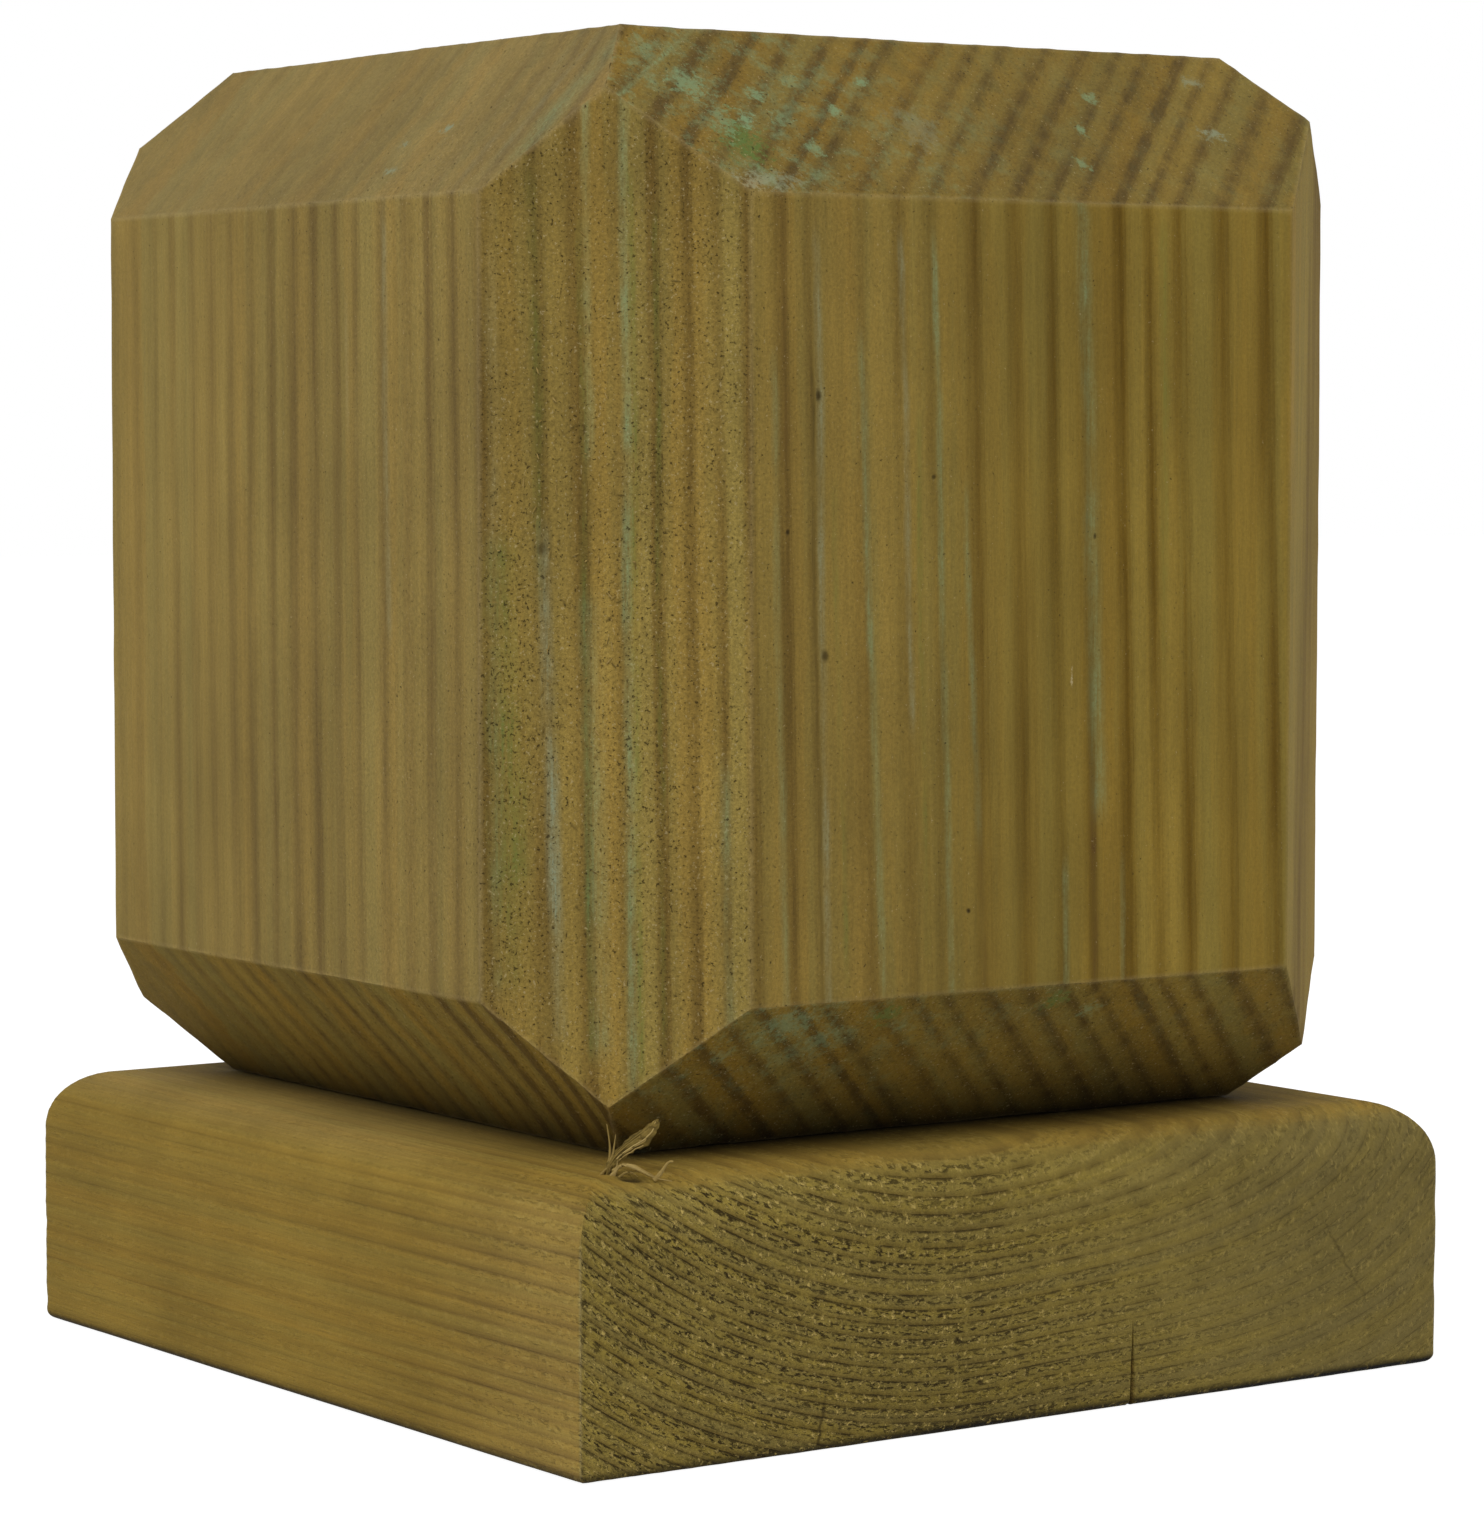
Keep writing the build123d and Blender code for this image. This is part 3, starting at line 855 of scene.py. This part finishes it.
class POSTCAP_OT_block(bpy.types.Operator):
    """Make the bevelled block from its CAD solid, with the relief of the wood"""

    bl_idname = "post_cap.make_block"
    bl_label = "Make bevelled block"

    def execute(self, context):
        settings = context.scene.post_cap_wood
        low, high = (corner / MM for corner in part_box("bevelled_block"))
        z_cuts = steps(low.z, high.z, BLOCK_STEP_UP)
        for edge in CORNER_HEIGHTS:
            z_cuts = [z for z in z_cuts if abs(z - edge) > 2.0] + steps(edge - 2.0, edge + 2.0, CORNER_STEP)
        in_plan = (steps(low.x, high.x, BLOCK_STEP), steps(low.y, high.y, BLOCK_STEP))
        mesh, planes = refined_copy("bevelled_block", (*in_plan, sorted(z_cuts)))
        places, normals = points_and_normals(mesh)
        ring, strength, tone = block_rings(places)
        lines, sawn, dried = block_finish(places, normals)
        arris = arris_distance(places, planes)
        end = ease(np.abs(normals[:, 2]), 0.25, 0.6)
        soft = 1 - ease(ring % 1.0, 0.5, 0.8) + ease(ring % 1.0, 0.9, 1.0)
        depth = settings.ring_relief / MM * (1 + 1.5 * end) * soft * lines
        depth += 0.03 * (1 + soft_noise(places, (9, 9, 25), 31))
        depth += 0.025 * sawn * (1 + soft_noise(places, (1.5, 1.5, 1.5), 34))
        wear = 0.06 + 0.05 * soft_noise(places, (2.2, 2.2, 4.0), 32)
        wear += 0.05 * soft_noise(places, (9, 9, 9), 33)
        depth += np.clip(wear, 0.01, 1) * np.exp(-arris / WEAR_REACH)
        press_in(mesh, normals, depth)
        # Painted shade on the block's foot, darkest where it stands on the plate
        tone -= CONTACT_SHADE * np.exp(-(places[:, 2] - low.z) / FOOT_SHADE_REACH)
        tone += 0.9 * (normals[:, 2] < -0.3) * (normals[:, 0] < -0.3) + 0.4 * (normals[:, 2] < -0.3)
        slope = math.sqrt(0.5)
        on_near, on_right = (ease(normals @ np.array([way, -slope, 0]), 0.9, 0.98) for way in (-slope, slope))
        tone += on_near * (0.4 * ease(-places[:, 2], -95, -60) - 0.7 * ease(places[:, 2], 100, 116))
        tone += 0.8 * on_right
        attributes = {
            "ring_number": ring, "line_strength": lines * strength, "roughly_sawn": sawn, "dried_pale": dried,
            "arris_mm": arris, "end_grain": end, "wood_tone": tone,
        }
        piece = finish_mesh(mesh, "wood_block", attributes, SHARP_BEND)
        piece.data.materials.append(treated_block_pine(settings))
        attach(piece, "root")
        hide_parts("bevelled_block")
        return {"FINISHED"}


class POSTCAP_OT_plate(bpy.types.Operator):
    """Make the base plate from its CAD solid, with sawn end grain"""

    bl_idname = "post_cap.make_plate"
    bl_label = "Make base plate"

    def execute(self, context):
        settings = context.scene.post_cap_wood
        low, high = (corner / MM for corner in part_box("base_plate"))
        sizes = (PLATE_STEP, PLATE_STEP_DEEP, PLATE_STEP)
        mesh, _ = refined_copy("base_plate", [steps(*span) for span in zip(low, high, sizes)])
        places, normals = points_and_normals(mesh)
        ring, arc = plate_rings(places)
        half = high.x
        arris = np.maximum(half - np.abs(places[:, 0]), half - np.abs(places[:, 1]))
        end = ease(np.abs(normals[:, 1]), 0.35, 0.75)
        top = ease(normals[:, 2], 0.5, 0.95)
        x, y, z = places.T
        soft = 1 - ease(ring % 1.0, 0.4, 0.8) + ease(ring % 1.0, 0.9, 1.0)
        rough = end * ease(-x - 0.9 * z, -44, 8) * np.where(y < 0, 1.0, 0.4)
        long_lines = 0.2 + 0.6 * ease(-y, 0, 45)
        end_lines = 0.6 - 0.42 * ease(x + 1.2 * (20 - z), -10, 45)
        lines = (long_lines * (1 - end) + end_lines * end) * (1 - 0.4 * top)
        sawn = np.maximum(rough, 0.1 + 0.15 * ease(-y, 25, 48))
        dried = 0.04 + 0.08 * ease(-y, 20, 48) * (1 - top) + 0.12 * top * ease(y, -40, 0)
        dried = dried * (1 - end) + 0.1 * end * ease(x, 0, 45)
        depth = settings.ring_relief / MM * soft * lines
        torn = soft_noise(np.column_stack((arc, ring, y)), (1.0, 0.5, 1.0), 41)
        depth += rough * soft * (0.05 + 0.05 * torn)
        depth += 0.03 * (1 + soft_noise(places, (12, 12, 12), 42))
        wear = 0.08 + 0.06 * soft_noise(places, (2.0, 2.0, 2.0), 43)
        depth += np.clip(wear, 0.01, 1) * np.exp(-arris / WEAR_REACH)
        block_low, block_high = (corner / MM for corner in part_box("bevelled_block"))
        middle, reach = (block_low + block_high) / 2, (block_high - block_low) / 2
        out_x = np.abs(x - middle.x) - reach.x + FOOT_INSET
        out_y = np.abs(y - middle.y) - reach.y + FOOT_INSET
        out = np.maximum(np.maximum(out_x, out_y), 0)
        # Plate top a little lighter, with painted shade that is darkest at the block's foot
        tone = (0.4 - CONTACT_SHADE * np.exp(-out / PLATE_SHADE_REACH)) * ease(normals[:, 2], 0.85, 1.0)
        tone += (0.6 * ease(-y, 5, 45) - 0.2) * (1 - end) * (1 - top) - 1.3 * end * ease(x, -5, 45)
        tone += 0.9 * end * ease(-x, 0, 45)
        tone -= 0.9 * end * np.exp(-((x + 8) / 17) ** 2 - (z / 3.2) ** 2)
        # Painted shade on the plate's underside and eased bottom edges, where it stands on the floor
        tone -= 3.9 * (1 - ease(z, 0.15, 1.3))
        torn_pit = np.zeros(len(places))
        for pit_x, pit_y in TORN_PITS:
            torn_pit += np.exp(-((x - pit_x) ** 2 + (y - pit_y) ** 2) / 0.5) * top
        depth += 0.35 * np.clip(torn_pit, 0, 1)
        attributes = {
            "ring_number": ring, "line_strength": lines, "roughly_sawn": sawn, "dried_pale": dried,
            "arris_mm": arris, "end_grain": end, "wood_tone": tone,
            "arc_mm": arc, "torn_pit": np.clip(torn_pit, 0, 1),
        }
        press_in(mesh, normals, depth)
        piece = finish_mesh(mesh, "wood_plate", attributes, SHARP_BEND)
        piece.data.materials.append(treated_plate_pine(settings))
        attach(piece, "root")
        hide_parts("base_plate")
        return {"FINISHED"}


class POSTCAP_OT_splinters(bpy.types.Operator):
    """Raise the tuft of torn fibres on the plate and lay sawdust on the wood"""

    bl_idname = "post_cap.add_splinters"
    bl_label = "Add splinters and sawdust"

    def execute(self, context):
        settings = context.scene.post_cap_wood
        material = torn_fibre(settings)
        for piece in (self.tuft(), self.sawdust(settings.grain_count)):
            piece.data.materials.append(material)
            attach(piece, "root")
        return {"FINISHED"}

    def tuft(self):
        """Splinters and one broad blade that spring from a torn place near the plate's front corner."""
        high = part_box("base_plate")[1] / MM
        right, up, back = photo_axes()
        root = Vector((*TUFT_ROOT, plate_top(*TUFT_ROOT, high.z, high.x)))
        random = np.random.default_rng(51)
        mesh, tints = bmesh.new(), []
        for points, width, thickness in SPLINTERS:
            path = smooth_path([root + right * a + up * b + back * c for a, b, c in points], 12)
            taper = [min(1.0, 0.35 + 0.9 * (1 - i / 11)) * random.uniform(0.85, 1.1) for i in range(12)]
            sizes = ([size * t for t in taper] for size in (width, thickness))
            made = strand(mesh, path, *sizes, right, twist=0.12)
            tints += [random.uniform(0.45, 0.9)] * len(made)
        path = smooth_path([root + right * a + up * b + back * c for a, b, c in BLADE], 22)
        widths = np.interp(np.linspace(0, 6, 22), range(7), BLADE_WIDTHS) * random.uniform(0.9, 1.08, 22)
        made = strand(mesh, path, widths, 0.3 + 0.12 * widths, right * 0.6 - up * 0.8, sides=10, twist=0.02)
        for vertex in made:
            vertex.co += Vector(random.uniform(-0.14, 0.14, 3)) * MM
        tints += list(random.uniform(0.0, 0.45, len(made)))
        for _ in range(BLADE_FIBRES):
            side, face = random.uniform(-0.42, 0.42), random.uniform(0.1, 0.3)
            first, last = sorted(random.choice(22, 2, replace=False))
            if last - first < 5:
                continue
            way = (right * 0.6 - up * 0.8).normalized()
            line = [path[i] + way * side * widths[i] + back * face for i in range(first, last + 1)]
            line[-1] += up * random.uniform(0, 0.25)
            made = strand(mesh, line, [0.13] * len(line), [0.11] * len(line), way, sides=5)
            tints += [random.uniform(0.1, 0.9)] * len(made)
        return finish_mesh(mesh, "splinter_tuft", {"tint": tints}, math.radians(50))

    def sawdust(self, count):
        """Grains 0.1 to 0.4 mm across and short fibres, most of them on the near bevel."""
        random = np.random.default_rng(52)
        mesh, tints = bmesh.new(), []
        bevel = Vector((-1, -1, 0)).normalized()
        side = Vector((1, -1, 0)).normalized()
        start = Vector((BLOCK_LEFT, NEAR_ARRIS, 0))
        for _ in range(count):
            across = random.uniform(0.5, 23.5)
            place = start + side * across + Vector((0, 0, random.triangular(42, 70, 112)))
            length = random.uniform(0.12, 0.3) if random.random() < 0.88 else random.uniform(0.5, 0.9)
            thick = random.uniform(0.08, 0.17)
            turn = random.uniform(0, math.pi)
            along = (side * math.cos(turn) + Vector((0, 0, math.sin(turn)))).normalized()
            bow = bevel * random.uniform(-0.02, 0.05)
            path = [place - along * length / 2, place + bow, place + along * length / 2]
            widths, heights = ([thick * share for share in shares] for shares in GRAIN_SHAPE)
            made = strand(mesh, path, widths, heights, bevel.cross(along), sides=5)
            tints += [random.uniform(0.05, 0.75)] * len(made)
        return finish_mesh(mesh, "sawdust_grains", {"tint": tints}, math.radians(60))


class POSTCAP_OT_screws(bpy.types.Operator):
    """Give the two fixing screws their plated steel"""

    bl_idname = "post_cap.dress_screws"
    bl_label = "Dress fixing screws"

    def execute(self, context):
        material, add = new_material("zinc_plated_steel_yellow_passivated")
        place = add("TexCoord").outputs["Object"]
        mm = add("VectorMath", {0: place, "Scale": 1 / MM}, operation="SCALE")
        cloud = add("TexNoise", {"Vector": mm, "Scale": 0.6, "Detail": 3.0, "Roughness": 0.6})
        colour = add("ValToRGB", {0: cloud})
        set_stops(colour, ((0.3, "#B89A55"), (0.5, "#CBB070"), (0.7, "#A7A67A")))
        rough = add("MapRange", {0: cloud, 1: 0.3, 2: 0.7, 3: 0.28, 4: 0.45})
        surface = add("BsdfPrincipled", {"Base Color": colour, "Metallic": 1.0, "Roughness": rough})
        add("OutputMaterial", {"Surface": surface})
        for name in ("fixing_screw_left", "fixing_screw_right"):
            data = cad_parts[name].data
            data.materials.clear()
            data.materials.append(material)
        return {"FINISHED"}


class POSTCAP_OT_stage(bpy.types.Operator):
    """Lay the pale floor, hang the soft lamps and set the photograph's camera"""

    bl_idname = "post_cap.set_stage"
    bl_label = "Set stage"

    def execute(self, context):
        stage = context.scene.post_cap_stage
        self.lay_floor(stage)
        self.light_sky(stage)
        self.hang_lamps(stage)
        self.place_camera()
        context.scene.view_settings.view_transform = "Standard"
        return {"FINISHED"}

    def seen_directly(self, add):
        """1 for rays from the camera, a mirror or glass."""
        path = add("LightPath").outputs
        seen = add("Math", {0: path["Is Camera Ray"], 1: path["Is Glossy Ray"]}, operation="MAXIMUM")
        return add("Math", {0: seen, 1: path["Is Transmission Ray"]}, operation="MAXIMUM")

    def lay_floor(self, stage):
        """Flat floor. The camera and mirrors see it white, with the object's soft contact shadow."""
        half = stage.floor_size / 2
        data = bpy.data.meshes.new("floor")
        corners = [(-half, -half, 0), (half, -half, 0), (half, half, 0), (-half, half, 0)]
        data.from_pydata(corners, [], [(0, 1, 2, 3)])
        floor = bpy.data.objects.new("floor", data)
        bpy.context.scene.collection.objects.link(floor)
        material, add = new_material("matt_studio_floor")
        matt = add("BsdfDiffuse", {"Color": linear("#E7E7E7")})
        veil = add("BsdfDiffuse", {"Color": linear("#7C7C7C")})
        glow = add("Emission", {"Color": (1, 1, 1, 1), "Strength": 0.94})
        white = add("AddShader", {0: veil, 1: glow})
        surface = add("MixShader", {0: self.seen_directly(add), 1: matt, 2: white})
        add("OutputMaterial", {"Surface": surface})
        data.materials.append(material)

    def light_sky(self, stage):
        """Even surrounding light, white where the camera sees it."""
        world = bpy.data.worlds.new("studio")
        bpy.context.scene.world = world
        world.use_nodes = True
        world.node_tree.nodes.clear()
        add = partial(add_node, world.node_tree)
        soft = add("Background", {"Color": (1, 1, 1, 1), "Strength": stage.sky_level})
        white = add("Background", {"Color": (1, 1, 1, 1), "Strength": 1.0})
        surface = add("MixShader", {0: self.seen_directly(add), 1: soft, 2: white})
        add("OutputWorld", {"Surface": surface})

    def hang_lamps(self, stage):
        """A key lamp on the left and a fill lamp on the right, both large and soft."""
        lamps = (
            ("key_lamp", (-0.88, -0.61, 1.19), 0.9, stage.key_power),
            ("fill_lamp", (1.0, -0.36, 1.19), 0.9, stage.fill_power),
        )
        for name, place, size, power in lamps:
            light = bpy.data.lights.new(name, "AREA")
            light.shape = "DISK"
            light.size = size
            light.energy = power
            lamp = bpy.data.objects.new(name, light)
            lamp.location = place
            lamp.rotation_euler = (Vector((0, 0, 0.06)) - Vector(place)).to_track_quat("-Z", "Y").to_euler()
            bpy.context.scene.collection.objects.link(lamp)

    def place_camera(self):
        """Camera of the fit."""
        right, up, back = photo_axes()
        rotation = Matrix((right, up, back)).transposed() @ Matrix.Rotation(math.radians(CAMERA_ROLL), 3, "Z")
        data = bpy.data.cameras.new("camera")
        data.sensor_width = SENSOR
        data.lens = FOCAL_PIXELS / max(PHOTO_SIZE) * SENSOR
        data.clip_start = 0.01
        camera = bpy.data.objects.new("camera", data)
        place = (right * AIM_SIDEWAYS + Vector((0, 0, AIM_HEIGHT)) + back * CAMERA_DISTANCE) * MM
        camera.matrix_world = Matrix.LocRotScale(place, rotation, None)
        bpy.context.scene.collection.objects.link(camera)
        bpy.context.scene.camera = camera


class POSTCAP_PT_panel(bpy.types.Panel):
    """Post cap settings and operators"""

    bl_idname = "POSTCAP_PT_panel"
    bl_label = "Post Cap"
    bl_space_type = "VIEW_3D"
    bl_region_type = "UI"
    bl_category = "Post Cap"

    def draw(self, context):
        for group in (context.scene.post_cap_wood, context.scene.post_cap_stage):
            for name in group.__annotations__:
                self.layout.prop(group, name)
        for operator in OPERATORS:
            self.layout.operator(operator.bl_idname)


OPERATORS = (POSTCAP_OT_block, POSTCAP_OT_plate, POSTCAP_OT_splinters, POSTCAP_OT_screws, POSTCAP_OT_stage)
CLASSES = (PostCapWood, PostCapStage, *OPERATORS, POSTCAP_PT_panel)


def register():
    for item in CLASSES:
        bpy.utils.register_class(item)
    bpy.types.Scene.post_cap_wood = bpy.props.PointerProperty(type=PostCapWood)
    bpy.types.Scene.post_cap_stage = bpy.props.PointerProperty(type=PostCapStage)


def unregister():
    del bpy.types.Scene.post_cap_wood
    del bpy.types.Scene.post_cap_stage
    for item in reversed(CLASSES):
        bpy.utils.unregister_class(item)


def main():
    """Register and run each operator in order."""
    register()
    for operator in OPERATORS:
        group, name = operator.bl_idname.split(".")
        getattr(getattr(bpy.ops, group), name)()


if __name__ == "__main__":
    main()
